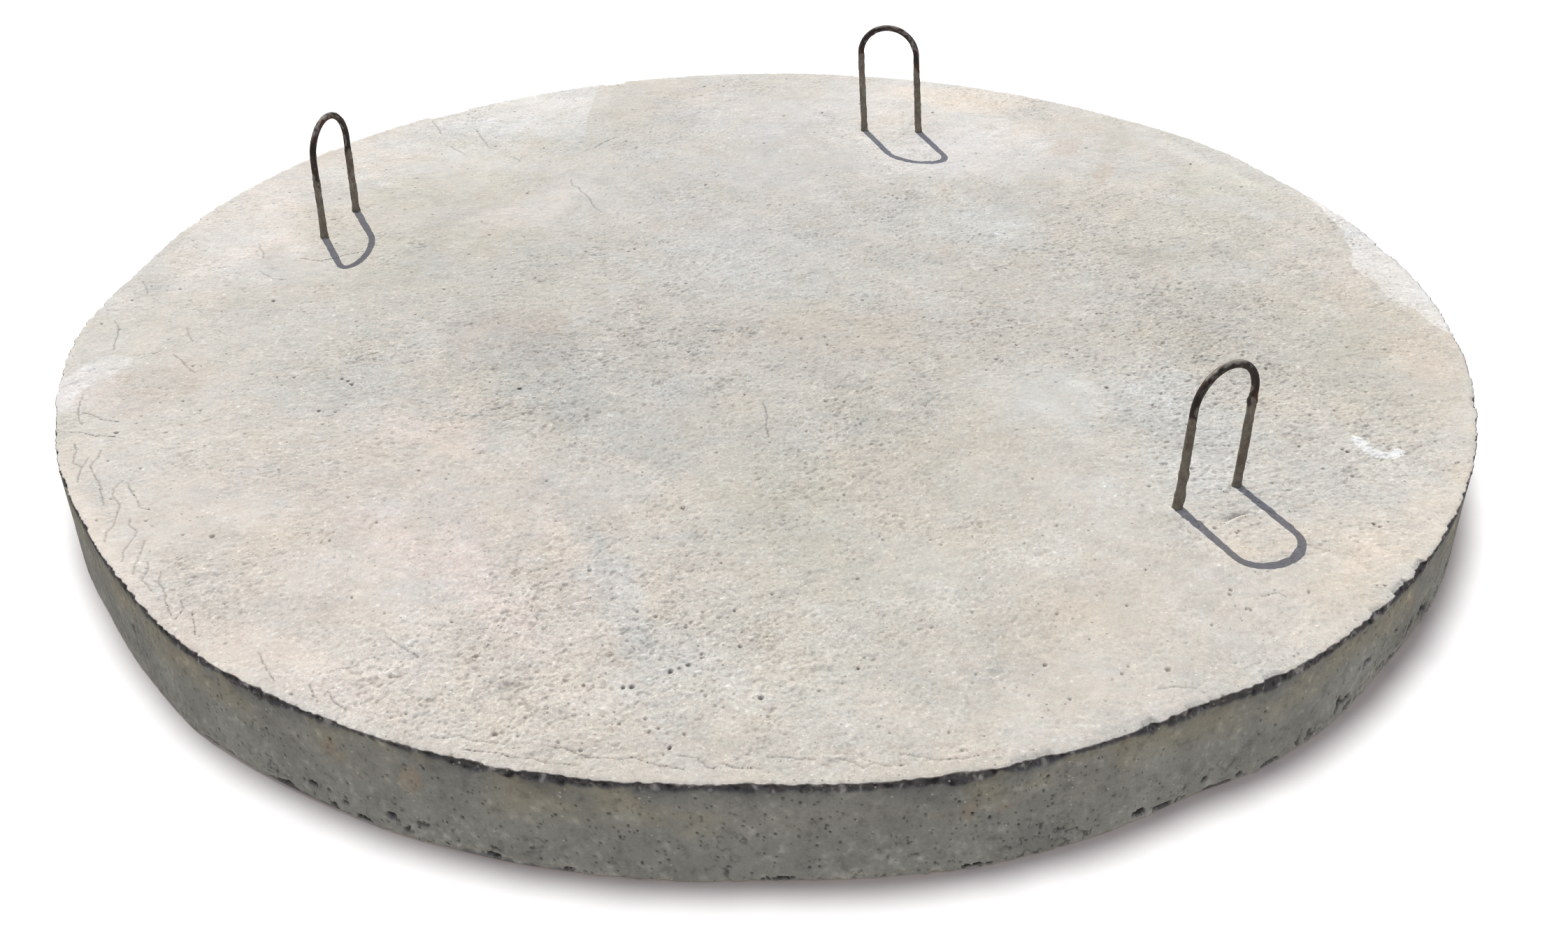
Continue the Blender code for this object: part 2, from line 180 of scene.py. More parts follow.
# Honeycombed places in the wall: bearing, depth below the top face, half width, half height, depth
SCARS = (
    (240.6, 83, 12, 2, 3), (243, 86, 3, 5, 4), (246.9, 85, 6, 4, 6), (247.6, 89, 3, 8, 3),
    (238.2, 101, 12, 4, 5), (241.8, 100, 9, 4, 4), (244.2, 102, 8, 3, 4), (250.2, 100, 8, 2, 3),
    (253.4, 100, 6, 3, 3), (235.5, 101, 4, 2, 3), (249, 84, 8, 2, 2), (230.3, 101, 8, 2, 3),
    (292.8, 98, 3, 2, 4), (294.4, 96, 6, 3, 4), (302.3, 99, 4, 3, 3), (308, 96, 12, 6, 2),
    (309.7, 94, 3, 6, 6), (311.6, 84, 3, 8, 7), (312.8, 85, 9, 3, 5), (314.6, 58, 10, 3, 7),
    (316.8, 90, 15, 4, 8), (318.6, 52, 4, 6, 7), (320.5, 78, 9, 8, 7), (322, 80, 9, 9, 8),
    (324, 74, 9, 10, 8), (325.5, 80, 8, 9, 8), (328.6, 86, 13, 8, 8), (332, 80, 15, 9, 7),
    (336, 60, 6, 14, 6), (300, 102, 20, 2, 3), (225, 102, 12, 2, 3), (20, 88, 22, 6, 5),
    (52, 99, 28, 4, 6), (95, 92, 16, 6, 6), (128, 100, 26, 4, 6), (150, 86, 12, 5, 5),
    (176, 98, 20, 5, 5), (296.8, 100, 14, 3, 6), (299.4, 88, 5, 3, 4), (305, 101, 10, 3, 6),
    (313.4, 99, 12, 4, 7), (319, 97, 14, 4, 7), (326.5, 98, 14, 5, 7), (258.5, 101, 10, 2, 4),
    (271, 101, 12, 2, 4), (283, 101, 10, 2, 4), (200, 102, 14, 2, 3), (352, 96, 20, 5, 6),
    (75, 60, 8, 5, 3), (345, 40, 9, 4, 3),
)

# Bars, wires and blocks inside: how their nodes' names start, the material's name, its dark and light
# colours, the scale of their patches, roughness, metallic and relief in metres
INNER = (
    ("mesh_bar", "rusty_mesh_bar", (0.055, 0.04, 0.036), (0.19, 0.085, 0.045), 60, 0.75, 0.35, 0.0003),
    ("perimeter", "rusty_ring_bar", (0.06, 0.045, 0.04), (0.17, 0.08, 0.045), 70, 0.75, 0.35, 0.0003),
    ("tie_wire", "annealed_wire", (0.035, 0.033, 0.034), (0.09, 0.075, 0.065), 180, 0.6, 0.7, 0.0001),
    ("cover_block", "cover_block_mortar", (0.24, 0.235, 0.22), (0.33, 0.32, 0.295), 110, 0.9, 0, 0.0004),
)

# The camera, fitted to the slab's two rims: place in metres, with its height over the slab's top,
# pitch and roll in degrees, and focal length in mm on a sensor 36 mm wide
CAMERA = (0.0192, -1.7001, 0.9123)
PITCH, ROLL = 33.39, -0.329
LENS = 39.92

# How far the floor reaches each way, and how far it lies below the slab, in metres
FLOOR_REACH = 60
FLOOR_DROP = 0.0005

# Lifting loops: name, distance from the centre, bearing, direction of the loop's plane, leg spacing,
# height of the crown, lean of the crown, how high the mortar coat reaches on each leg
LOOPS = (
    ("left", 573, 155.2, 73, 78, 136, 4, (73, 78)),
    ("rear", 551, 72.3, -6.3, 73, 143, -9, (103, 80)),
    ("right", 549, -41.1, 31, 73, 140, 4, (92, 90)),
)

# Single deep pits, and a gouge by the right loop, as points in mm
GOUGE = (432, -394)
PITS = (
    (415, -533), (402, -511), (404, -505), (378, -553), (351, -164), (561, -282), (565, -286),
    (620, -289), (556, -407), (560, -412), (-143, -626), (-111, -629), (-104, -628), (-70, -700),
    (-64, -551), (-18, -577), (8, -507), (79, -606), (0, -642), (-67, -604), (-74, -608), (-60, -600),
    (-91, -667), (-87, -682), (-80, -678), (-222, 706), (-215, 712), (-228, 714), (-217, 700),
    (-232, 707), (-210, 707), (-465, 586), (-457, 591), (-472, 583), (-480, 579), (-152, -472),
    (-450, -199), (-433, -139), (-428, -146), (-440, -135),
)

# A smear of lime, as a stroke through points in mm
SMEAR = ((580, -264), (585, -279), (594, -290), (604, -292), (614, -287))

# A film of lime on the far left, likewise
FILM = ((-728, -186), (-720, -150), (-706, -122), (-690, -100))


def stream(seed):
    return np.random.default_rng(1000 + seed)


def taps(count, cell, wrap):
    """Where each of count places falls on a coarse lattice, and the four weights of a cubic spline there."""
    place = np.arange(count) / cell
    first = np.floor(place).astype(int)
    t = (place - first).astype(np.float32)
    size = max(4, round(count / cell)) if wrap else first[-1] + 4
    weights = ((1 - t) ** 3, 3 * t**3 - 6 * t**2 + 4, -3 * t**3 + 3 * t**2 + 3 * t + 1, t**3)
    return [((first + k) % size, weight / 6) for k, weight in enumerate(weights)], size


def noise(shape, cell, seed, wrap=False, cell_y=None):
    """Smooth noise over a raster of 1 mm steps, with features about as large as cell and a spread of 1."""
    if wrap:
        cell = shape[1] / round(shape[1] / cell)
    down, rows = taps(shape[0], cell_y or cell, False)
    across, columns = taps(shape[1], cell, wrap)
    lattice = stream(seed).standard_normal((rows, columns)).astype(np.float32)
    tall = sum(lattice[i] * weight[:, None] for i, weight in down)
    field = sum(tall[:, i] * weight for i, weight in across)
    return field / field.std()


def fractal(shape, cells, seed, fall=0.6, wrap=False):
    total = sum(fall**i * noise(shape, cell, seed + i, wrap) for i, cell in enumerate(cells))
    return total / total.std()


def ramp(low, high, value):
    t = np.clip((value - low) / (high - low), 0, 1)
    return t * t * (3 - 2 * t)


def bell(value, centre, width):
    return np.exp(-(((value - centre) / width) ** 2))


def toned(weight, red, green, blue):
    """A weight at each point, spread over three channels."""
    return weight[..., None] * np.array([red, green, blue])


def blended(colour, other, weight):
    """A colour turned towards another one, all the way where the weight is 1."""
    weight = weight[..., None]
    return colour * (1 - weight) + np.array(other) * weight


def spiked(field):
    """Flattens the quiet middle of a noise, so that only its marks are left."""
    return np.sign(field) * np.clip(np.abs(field) - 0.7, 0, 2) * 1.5


def picked(field, row, column, wrap=False):
    """Reads a raster between its points."""
    height, width = field.shape[:2]
    row = np.clip(row, 0, height - 1.001)
    column = np.mod(column, width) if wrap else np.clip(column, 0, width - 1.001)
    i, j = row.astype(int), column.astype(int)
    u, v = row - i, column - j
    k = (j + 1) % width
    if field.ndim == 3:
        u, v = u[..., None], v[..., None]
    below = field[i, j] * (1 - v) + field[i, k] * v
    above = field[i + 1, j] * (1 - v) + field[i + 1, k] * v
    return below * (1 - u) + above * u


def window(field, row, column, reach):
    """The part of a raster within reach of a point, and how far its rows and columns are from there."""
    place = tuple(
        slice(max(0, int(at - reach)), min(size, int(at + reach) + 2))
        for at, size in zip((row, column), field.shape)
    )
    rows, columns = np.mgrid[place]
    return place, rows - row, columns - column


def stamp_dots(height, shade, spots, rng, radius, depth, dark):
    """Small hollows, or lumps where depth is negative, each with a random size and shape, and a mark of
    random strength in a second raster: painted shade for the pits and pores, pale colour for the sand grains.
    """
    for row, column in spots:
        size = rng.uniform(*radius)
        place, dy, dx = window(height, row, column, size * 2)
        angle = rng.uniform(0, math.pi)
        along = dx * math.cos(angle) + dy * math.sin(angle)
        across = dy * math.cos(angle) - dx * math.sin(angle)
        distance = np.sqrt(along**2 + (across * rng.uniform(1, 1.7)) ** 2) / size
        bowl = np.clip(1.7 - 1.7 * distance**2, 0, 1)
        height[place] -= bowl * rng.uniform(*depth)
        shade[place] = np.maximum(shade[place], bowl * rng.uniform(*dark))


def strew(height, shade, rng, count, weight, *ranges):
    """Stamps dots at random places on a raster, thinned by a weight from 0 to 1."""
    rows = rng.uniform(2, weight.shape[0] - 3, count)
    columns = rng.uniform(2, weight.shape[1] - 3, count)
    keep = rng.uniform(0, 1, count) < picked(weight, rows, columns)
    stamp_dots(height, shade, zip(rows[keep], columns[keep]), rng, *ranges)


def oval(x, y, row):
    """How far inside a turned oval each point is, from 0 to 1, with an edge as soft as the row says."""
    at_x, at_y, long, wide, turn, edge = row[:6]
    c, s = math.cos(math.radians(turn)), math.sin(math.radians(turn))
    along, across = (x - at_x) * c + (y - at_y) * s, (y - at_y) * c - (x - at_x) * s
    return ramp(1 + edge, 1 - edge, np.hypot(along / long, across / wide))


def far_from(x, y, points):
    """Distance from each place to the line through some points."""
    nearest = np.full(len(x), 99.0)
    for (ax, ay), (bx, by) in zip(points, points[1:]):
        t = np.clip(((x - ax) * (bx - ax) + (y - ay) * (by - ay)) / ((bx - ax) ** 2 + (by - ay) ** 2), 0, 1)
        nearest = np.minimum(nearest, np.hypot(x - ax - t * (bx - ax), y - ay - t * (by - ay)))
    return nearest


def crack_lines(rng):
    """Distance in mm to the nearest crack, 9 at most, and the step from each raster point to it."""
    near = np.full(FACE, 9, np.float32)
    step = np.zeros((*FACE, 2), np.float32)
    for crack in CRACKS:
        corners = np.array(crack, float).reshape(-1, 2)
        points = [corners[0]]
        for end in corners[1:]:
            start = points[-1]
            count = max(1, round(np.hypot(*(end - start)) / 4))
            for k in range(1, count + 1):
                wander = rng.uniform(-1, 1, 2) * (0.9 if k < count else 0.3)
                points.append(start + (end - start) * k / count + wander)
        for a, b in zip(points, points[1:]):
            middle = (a + b) / 2
            reach = np.hypot(*(b - a)) / 2 + 4
            place, dy, dx = window(near, middle[1] + HALF, middle[0] + HALF, reach)
            along = (b - a) / max(np.hypot(*(b - a)), 1e-6)
            t = np.clip(dx * along[0] + dy * along[1], -reach + 4, reach - 4)
            to_x, to_y = t * along[0] - dx, t * along[1] - dy
            distance = np.hypot(to_x, to_y)
            closer = distance < near[place]
            near[place] = np.where(closer, distance, near[place])
            step[place] = np.where(closer[..., None], np.stack([to_x, to_y], -1), step[place])
    return near, step


def outline_inset(bearing):
    """How far the slab's rim lies in from the mould's radius, in mm, at bearings in radians."""
    angles = np.arange(0, 360, 0.5)
    raw = np.interp(angles, *zip(*OUTLINE))
    kernel = np.hanning(11)
    smooth = np.convolve(np.concatenate([raw[-5:], raw, raw[:5]]), kernel / kernel.sum(), "valid")
    return np.interp(np.degrees(bearing) % 360, np.append(angles, 360), np.append(smooth, smooth[0]))


def strengths(table):
    """The strengths of a table's soft ovals added up: worked out every 4 mm, and read back every 1 mm."""
    coarse = 4
    y, x = np.mgrid[-HALF : HALF + 1 : coarse, -HALF : HALF + 1 : coarse].astype(np.float32)
    row, column = np.mgrid[0 : FACE[0], 0 : FACE[1]] / coarse
    return picked(sum(oval(x, y, line) * line[6] for line in table), row, column)


def top_rasters():
    """Height, relief, two grains, stipple, painted shade of the pits and hollows, pale marks, and cracks,
    over the top face.
    """
    rng = stream(1)
    rough = np.clip(0.28 + strengths(STIPPLED) + 0.11 * fractal(FACE, (70, 30, 12), 20), 0.1, 1)
    sandy = np.clip(0.05 + strengths(SANDY) + 0.12 * noise(FACE, 22, 24), 0, 1)
    wave = 0.45 * noise(FACE, 190, 30) + 0.3 * noise(FACE, 60, 31)
    fine, medium = spiked(noise(FACE, 1.5, 33)), spiked(noise(FACE, 2.5, 34))
    grain = 0.03 * noise(FACE, 6.5, 35) + 0.2 * medium + 0.26 * fine
    torn = 0.7 * noise(FACE, 1.7, 36) + 0.6 * noise(FACE, 3, 37) + 0.5 * noise(FACE, 13, 39)
    torn = np.clip(torn - 1.15, 0, 1.4)
    # The trowel drags the skin into small ledges
    level = 0.9 * noise(FACE, 8, 40, cell_y=5) + 0.55 * noise(FACE, 3.4, 41, cell_y=2.2)
    level += 0.4 * noise(FACE, 18, 42)
    ledge = np.floor(level) + ramp(0.38, 0.62, level - np.floor(level))
    relief = rough * (grain - torn * 1.1) + np.sqrt(rough) * 0.22 * ledge
    relief = relief + 0.07 * noise(FACE, 24, 32) + 0.05 * medium
    # Painted shade in the torn hollows and pits, then sand grains
    dark = np.clip(torn * rough * 0.3, 0, 0.5)
    pale = np.zeros(FACE, np.float32)
    strew(relief, dark, rng, 6500, rough**1.1, (0.8, 1.6), (0.4, 1.3), (0.3, 1))
    strew(relief, dark, rng, 1100, 0.15 + 0.85 * rough, (1, 1.9), (1, 2.4), (0.9, 1.6))
    strew(relief, dark, rng, 45, 0.3 + 0.7 * rough, (2, 3), (1.4, 2.8), (0.8, 1.4))
    stamp_dots(relief, dark, [(y + HALF, x + HALF) for x, y in PITS], rng, (1.5, 2.7), (2, 3.5), (1.2, 1.8))
    strew(relief, pale, rng, 17000, sandy, (1, 2.1), (-0.6, 0), (0.35, 1))
    strew(relief, pale, rng, 5000, sandy, (1.5, 2.4), (-0.2, 0.1), (0.8, 1.5))
    strew(relief, pale, rng, 7000, rough, (0.9, 1.7), (-1, -0.3), (0.1, 0.7))
    near, step = crack_lines(rng)
    # The gouge is a curved groove, with painted shade along its steep side and a lip beside it
    place, dy, dx = window(relief, GOUGE[1] + HALF, GOUGE[0] + HALF, 40)
    along = dx * 0.87 + dy * 0.5
    side = dy * 0.87 - dx * 0.5 + 0.006 * along**2
    relief[place] -= 4 * bell(along, 0, 13) * bell(side, 0, np.where(side < 0, 1.3, 3.8))
    dark[place] += 0.9 * bell(along, 0, 12) * bell(side, 0, 1.4)
    relief[place] += 1.6 * bell(along, 0, 15) * bell(side, -4.5, 2.5)
    return wave + relief, relief, fine, medium, rough, dark, pale, near, step


def top_face(x, y):
    """Height above the top plane in mm, tint, stipple and sideways step, at points in mm."""
    height, relief, fine, medium, rough, dark, pale, near, step = top_rasters()
    row, column = y + HALF, x + HALF
    on_crack = picked(near, row, column) < 0.95
    shift = np.where(on_crack[:, None], picked(step, row, column), 0)
    row, column = row + shift[:, 1], column + shift[:, 0]

    def here(field):
        return picked(field, row, column)

    z = here(height) - 0.6 * on_crack
    warp_x = x + here(fractal(FACE, (90, 40, 16, 7), 50) * 12)
    warp_y = y + here(fractal(FACE, (90, 40, 16, 7), 60) * 12)
    tint = np.zeros((len(x), 3)) + (0.14 * (np.hypot(x, y) / RADIUS) ** 2)[:, None]
    for patch in PATCHES:
        light, warm, pink = np.array(patch[6:]) / 100
        tint += toned(oval(warp_x, warp_y, patch), light + warm + pink, light, light - warm + pink)
    tint += toned(here(fractal(FACE, (40, 18, 8), 70, 0.8)), 0.018, 0.018, 0.019)
    tint += toned(here(fractal(FACE, (55, 25, 12, 6), 80, 0.8)), 0.011, 0.002, -0.01)
    tint += toned(here(noise(FACE, 2.8, 43)), 0.007, -0.003, -0.006)
    # Short tears across the trowel's way
    tears = noise(FACE, 1.9, 45, cell_y=4.5)
    tears = ramp(1.5, 1.9, picked(tears, HALF + 0.71 * x + 0.71 * y, HALF + 0.71 * x - 0.71 * y))
    tears *= ramp(0.3, 0.8, here(rough))
    z -= 0.7 * tears
    # Thin lime bloom in soft-edged smears, and damp blue-grey stains between them
    bloom = ramp(0.9, 2.2, here(fractal(FACE, (34, 15, 6), 84, 0.7)))
    tint += toned(bloom * 0.06, 0.95, 1, 1.12)
    damp = ramp(0.8, 2, here(fractal(FACE, (45, 20, 8), 88, 0.7)))
    tint -= toned(damp * 0.05, 1.08, 1, 0.85)
    # Strokes of the trowel, from the rear left to the front right
    stroke = picked(noise(FACE, 9, 44, cell_y=90), HALF + 0.57 * x - 0.82 * y, HALF + 0.82 * x + 0.57 * y)
    tint += toned(stroke * 0.01, 1, 1, 1.1)
    # Laitance: a pale bluish skin with a sharp edge, along the right rim and at the back left
    chalk = here(fractal(FACE, (30, 12, 6), 90))
    inner_edge = 682 + 0.35 * np.clip(100 - y, 0, None)
    crescent = ramp(-2, 2, warp_x * 0.5 + x * 0.5 - inner_edge)
    crescent *= ramp(-90, -50, y) * ramp(330, 290, y)
    tint += toned(crescent * (0.2 + 0.03 * chalk), 0.9, 1, 1.25)
    skin = ramp(-246, -250, warp_x * 0.2 + x * 0.8) * ramp(-520, -380, x)
    skin *= ramp(470, 530, warp_y)
    tint += toned(skin * (0.11 + 0.02 * chalk), 0.8, 1, 1.4)
    film = ramp(21, 17, far_from(x, y, FILM) + 2 * chalk)
    tint += toned(film * (0.12 + 0.03 * chalk), 0.85, 1, 1.2)
    lime = ramp(7.4, 6, far_from(x, y, SMEAR) + 1.3 * here(medium))
    tint = blended(tint, (0.38, 0.44, 0.51), lime)
    # Painted shade darkens the hollows and painted light brightens the crests, and every mark has its own
    # strength
    stipple = here(rough)
    tint += (np.clip(here(relief), -1.5, 1.2) * 0.05)[:, None]
    tint += (here(fine) * (0.024 + 0.06 * stipple))[:, None]
    # Painted shade in the pits, the torn hollows and the gouge's steep side; pale colour in the sand grains
    tint -= toned(here(dark), 0.5, 0.52, 0.54)
    tint += toned(here(pale) * 0.21, 0.85, 1, 1.15)
    # Painted shade in the cracks and the tears
    tint -= np.maximum(on_crack * 0.36, tears * 0.16)[:, None]
    return z, tint, stipple, shift


def along_rim(bearing, at):
    """Distance in mm along the rim from one bearing to others, all in degrees."""
    return ((bearing - at + 180) % 360 - 180) * WALL[1] / 360


def wall_column(bearing):
    """The wall raster's columns at bearings in radians."""
    return bearing % (2 * math.pi) / (2 * math.pi) * WALL[1]


def pressed_in(bearing):
    """How far in the foot of the wall was pressed near the right front, in mm, at bearings in degrees."""
    return 3.5 * bell(bearing, 319, 7)


def chips(bearing, jag, fine):
    """How far in and how deep the arris is broken, at each bearing."""
    reach_in, drop = np.zeros(WALL[1], np.float32), np.zeros(WALL[1], np.float32)
    for at, length, reach, deep in CHIPS:
        form = 1.2 - (along_rim(bearing, at) / (length / 2)) ** 2 + 0.35 * jag + 0.25 * fine
        form = ramp(0, 1, np.clip(form, 0, 1))
        reach_in = np.maximum(reach_in, form * reach * 0.32)
        drop = np.maximum(drop, form * deep * 0.4)
    return reach_in, drop


def honeycomb(depth, bearing):
    """How deep the honeycomb is, over the wall."""
    worms = fractal(WALL, (7, 3.5, 2), 130, 0.9, True)
    scar = np.zeros(WALL, np.float32)
    for at, down, half_width, half_height, deep in SCARS:
        form = 1.25 - (along_rim(bearing, at) / (half_width * 1.3)) ** 2
        form = np.clip(form - ((depth - down) / (half_height * 1.3)) ** 2, 0, 1)
        scar = np.maximum(scar, ramp(0.44, 0.6, form * 0.62 + 0.4 * worms * (form > 0)) * deep)
    return scar


def wall_face():
    """How far in from the outline, colour and roughness over the wall, then the rim's edge and chips."""

    def waves(cell, seed, cell_y=None):
        return noise(WALL, cell, seed, True, cell_y)

    def clouds(cells, seed, fall):
        return fractal(WALL, cells, seed, fall, True)

    rng = stream(2)
    depth = np.arange(WALL[0], dtype=np.float32)[:, None]
    bearing = np.arange(WALL[1]) / WALL[1] * 360
    sizes = (2.6, 6, 17, 70)
    fine, jag, step, wide = (noise((4, WALL[1]), cell, 100 + i, True)[1] for i, cell in enumerate(sizes))
    chipped, chip_depth = chips(bearing, jag, fine)
    edge = np.clip(0.95 + 0.5 * fine + 0.5 * jag + 0.35 * step, 0, 5) + chipped
    # The dark band of crumbling paste runs from the lip under the arris down to lower
    lip = 0.5 + 0.25 * fine
    lower = 6.7 + 0.7 * fine + 1.1 * jag + 1.1 * wide + 2.6 * bell(bearing, 306, 16)
    lower -= 2.2 * bell(bearing, 252, 9)
    band = ramp(lip, lip + 0.9, depth) * (1 - ramp(lower - 0.9, lower + 0.6, depth))
    crumble = clouds((9, 4.5, 2.6), 110, 0.8)
    inset = np.maximum(edge[None] * (1 - ramp(lip + 1, lower + 3, depth)), 0)
    inset += band * np.clip(0.9 + 0.9 * crumble, 0, 5)
    # Below the band the mould's smooth face, in slow waves, with a broken foot
    face = 0.45 * waves(160, 120) + 0.22 * waves(40, 121)
    face += 0.05 * waves(5, 122)
    inset += np.clip(1 + face, 0, 3) * ramp(lower, lower + 4, depth)
    inset += pressed_in(bearing) * ramp(60, THICK, depth)
    foot = ramp(THICK - 7 - 3 * wide - 2 * jag, THICK + 1, depth)
    inset += foot * np.clip(1.3 + crumble + 0.8 * wide, 0, 5)
    # Threads of paste left hanging in the band and along its lower edge
    thread = np.abs(0.8 * waves(6, 112, 2.4) + 0.5 * waves(2.6, 113, 1.6))
    held = ramp(0, 0.8, waves(20, 115)) * ramp(2.5, 5, depth) * (depth < lower + 0.8)
    thread = ramp(0.3, 0.08, thread) * held
    inset -= thread * 1.1 * (depth > 2)
    # Pores and bug holes, darkened with painted shade
    hollow, dark = np.zeros(WALL, np.float32), np.zeros(WALL, np.float32)
    places = ramp(9, 20, depth) * np.clip(0.5 + 0.3 * waves(60, 125), 0.1, 1)
    strew(hollow, dark, rng, 5000, places, (0.8, 1.5), (0.4, 1.2), (0.5, 1.2))
    strew(hollow, dark, rng, 420, places, (1, 1.8), (1, 2.2), (0.9, 1.5))
    inset -= hollow
    # Hairlines and scabs in the skin, more of them lower down, and honeycomb
    cracked = waves(28, 129) + 0.8 * ramp(40, 95, depth) + 1.2 * bell(bearing, 243, 6)
    scratch = np.abs(clouds((24, 9, 4), 126, 0.6))
    scratch = ramp(0.09, 0.03, scratch) * ramp(1, 1.7, cracked)
    scar = honeycomb(depth, bearing[None].astype(np.float32))
    inset = inset + scratch * 0.5 + scar
    # Painted shade in the honeycomb, darker where it is deeper
    dark = np.maximum(dark, np.clip(scar / 3.2, 0, 1.2))
    # Colours: log holds the face's, as powers of e
    blotch = clouds((90, 45, 20), 140, 0.7)
    cloud = clouds((26, 13, 7), 150, 0.75)
    small = spiked(clouds((5, 2.8, 1.7), 160, 0.9))
    log = toned(0.04 * blotch + 0.055 * cloud + 0.105 * small, 1, 1, 1)
    upper = 1 - ramp(25, 70, depth + 10 * blotch)
    log += toned(upper * ramp(-0.3, 1.2, blotch + 0.4 * cloud), 0.05, 0, -0.13)
    rusty = ramp(1.2, 2, clouds((30, 14, 6), 170, 0.7)) * ramp(70, 30, depth)
    log += toned(rusty * 0.1, 0.9, -0.2, -1.2)
    log -= toned((1 - upper) * 0.5, 0.1, 0.06, 0.03)
    # Painted shade below the band, fading downwards, longer in places
    painted_shade_below_band = np.exp(-np.clip(depth - lower, 0, None) / (6 + 3 * wide.clip(-1, 2)))
    painted_shade_below_band = painted_shade_below_band * np.clip(0.45 + 0.14 * step, 0, 1) * (depth > lower - 1)
    log -= toned(painted_shade_below_band, 1.05, 1, 0.9)
    colour = np.array([0.399, 0.388, 0.347]) * np.exp(log)
    tar = toned(np.exp(0.75 * np.clip(small, -1.5, 2)), 0.132, 0.121, 0.12)
    colour = blended(colour, tar, band)
    grit = 0.8 * ramp(1.2, 1.8, small + 0.5 * crumble) * (band > 0.5) * ramp(2.5, 4, depth)
    grit = np.clip(np.maximum(thread * 0.55, grit), 0, 1)
    colour = blended(colour, (0.46, 0.44, 0.4), grit)
    colour = blended(colour, (0.52, 0.49, 0.44), 1 - ramp(lip - 0.3, lip + 0.4, depth))
    # Crumbs of clean aggregate along the foot and round the honeycomb
    crumbs = ramp(1.1, 1.7, clouds((4, 2.4), 180, 0.9)) * ramp(70, 100, depth + 12 * wide)
    # Crumbs lighten the colour; painted shade darkens the pores, the honeycomb and the hairlines
    colour = colour * np.exp(0.22 * crumbs - 1.5 * dark - 0.8 * scratch)[..., None]
    rough = np.clip(0.25 + band * 0.7 + np.clip(scar, 0, 1) * 0.6 + 0.5 * foot, 0, 1)
    return inset, colour, rough, edge, chip_depth


def disc(count):
    """A grid laid evenly over a unit disc: bearings and radii of its points, and its rim in order."""
    line = np.linspace(-1, 1, count + 1)
    up, across = np.meshgrid(line, line, indexing="ij")
    sideways = np.abs(across) > np.abs(up)
    radius = np.where(sideways, across, up)
    with np.errstate(divide="ignore", invalid="ignore"):
        turn = np.where(sideways, math.pi / 4 * up / across, math.pi / 2 - math.pi / 4 * across / up)
    turn = np.nan_to_num(turn)
    x, y = radius * np.cos(turn), radius * np.sin(turn)
    index = np.arange((count + 1) ** 2).reshape(count + 1, count + 1)
    rim = np.concatenate([index[:-1, -1], index[-1, :0:-1], index[:0:-1, 0], index[0, :-1]])
    quads = np.stack([index[:-1, :-1], index[:-1, 1:], index[1:, 1:], index[1:, :-1]], -1).reshape(-1, 4)
    return x.ravel(), y.ravel(), rim, quads


def mesh_object(name, points, faces, material):
    """An object from numpy arrays: points in metres, and a list of arrays of faces of 3 or 4 corners."""
    mesh = bpy.data.meshes.new(name)
    corners = np.concatenate([f.ravel() for f in faces]).astype(np.int32)
    sizes = np.concatenate([np.full(len(f), f.shape[1]) for f in faces])
    starts = np.concatenate([[0], np.cumsum(sizes)[:-1]]).astype(np.int32)
    mesh.vertices.add(len(points))
    mesh.vertices.foreach_set("co", np.ascontiguousarray(points, np.float32).ravel())
    mesh.loops.add(len(corners))
    mesh.loops.foreach_set("vertex_index", corners)
    mesh.polygons.add(len(sizes))
    mesh.polygons.foreach_set("loop_start", starts)
    mesh.update(calc_edges=True)
    mesh.validate()
    mesh.shade_smooth()
    mesh.materials.append(material)
    piece = bpy.data.objects.new(name, mesh)
    scene.collection.objects.link(piece)
    return piece


def paint(piece, colour, grain):
    """Stores a colour and a graininess at each point, which the material reads."""
    tone = piece.data.attributes.new("tone", "FLOAT_COLOR", "POINT")
    full = np.ones((len(colour), 4), np.float32)
    full[:, :3] = colour
    tone.data.foreach_set("color", full.ravel())
    rough = piece.data.attributes.new("grain", "FLOAT", "POINT")
    rough.data.foreach_set("value", np.ascontiguousarray(grain, np.float32))


def underside():
    """Points, colours, rim and faces of the underside, with pores and the marks of the casting boards."""
    disc_x, disc_y, rim, quads = disc(GRID // 2)
    bearing = np.arctan2(disc_y, disc_x)
    rng = stream(3)
    cast = 0.12 * noise(FACE, 120, 200) + 0.05 * noise(FACE, 30, 201)
    pores = np.zeros(FACE, np.float32)
    everywhere = np.ones(FACE, np.float32)
    strew(cast, pores, rng, 900, everywhere, (2.6, 5), (0.8, 2.2), (0.3, 0.8))
    limit = RADIUS - outline_inset(bearing) - 3.2 - pressed_in(np.degrees(bearing) % 360)
    x, y = disc_x * limit, disc_y * limit
    row, column = y + HALF, x + HALF
    board = 250
    joint = np.abs((x + 8) % board - 8) < 2.5
    z = 0.35 - np.minimum(picked(cast, row, column), 0.3) + 0.5 * joint
    cloud = picked(fractal(FACE, (120, 50, 20), 210), row, column)
    # Painted shade darkens the pores
    shade = np.exp(0.06 * cloud - 0.9 * picked(pores, row, column) - 0.12 * joint)
    return np.stack([x, y, z], -1), toned(shade, 0.36, 0.35, 0.32), rim, quads[:, ::-1]


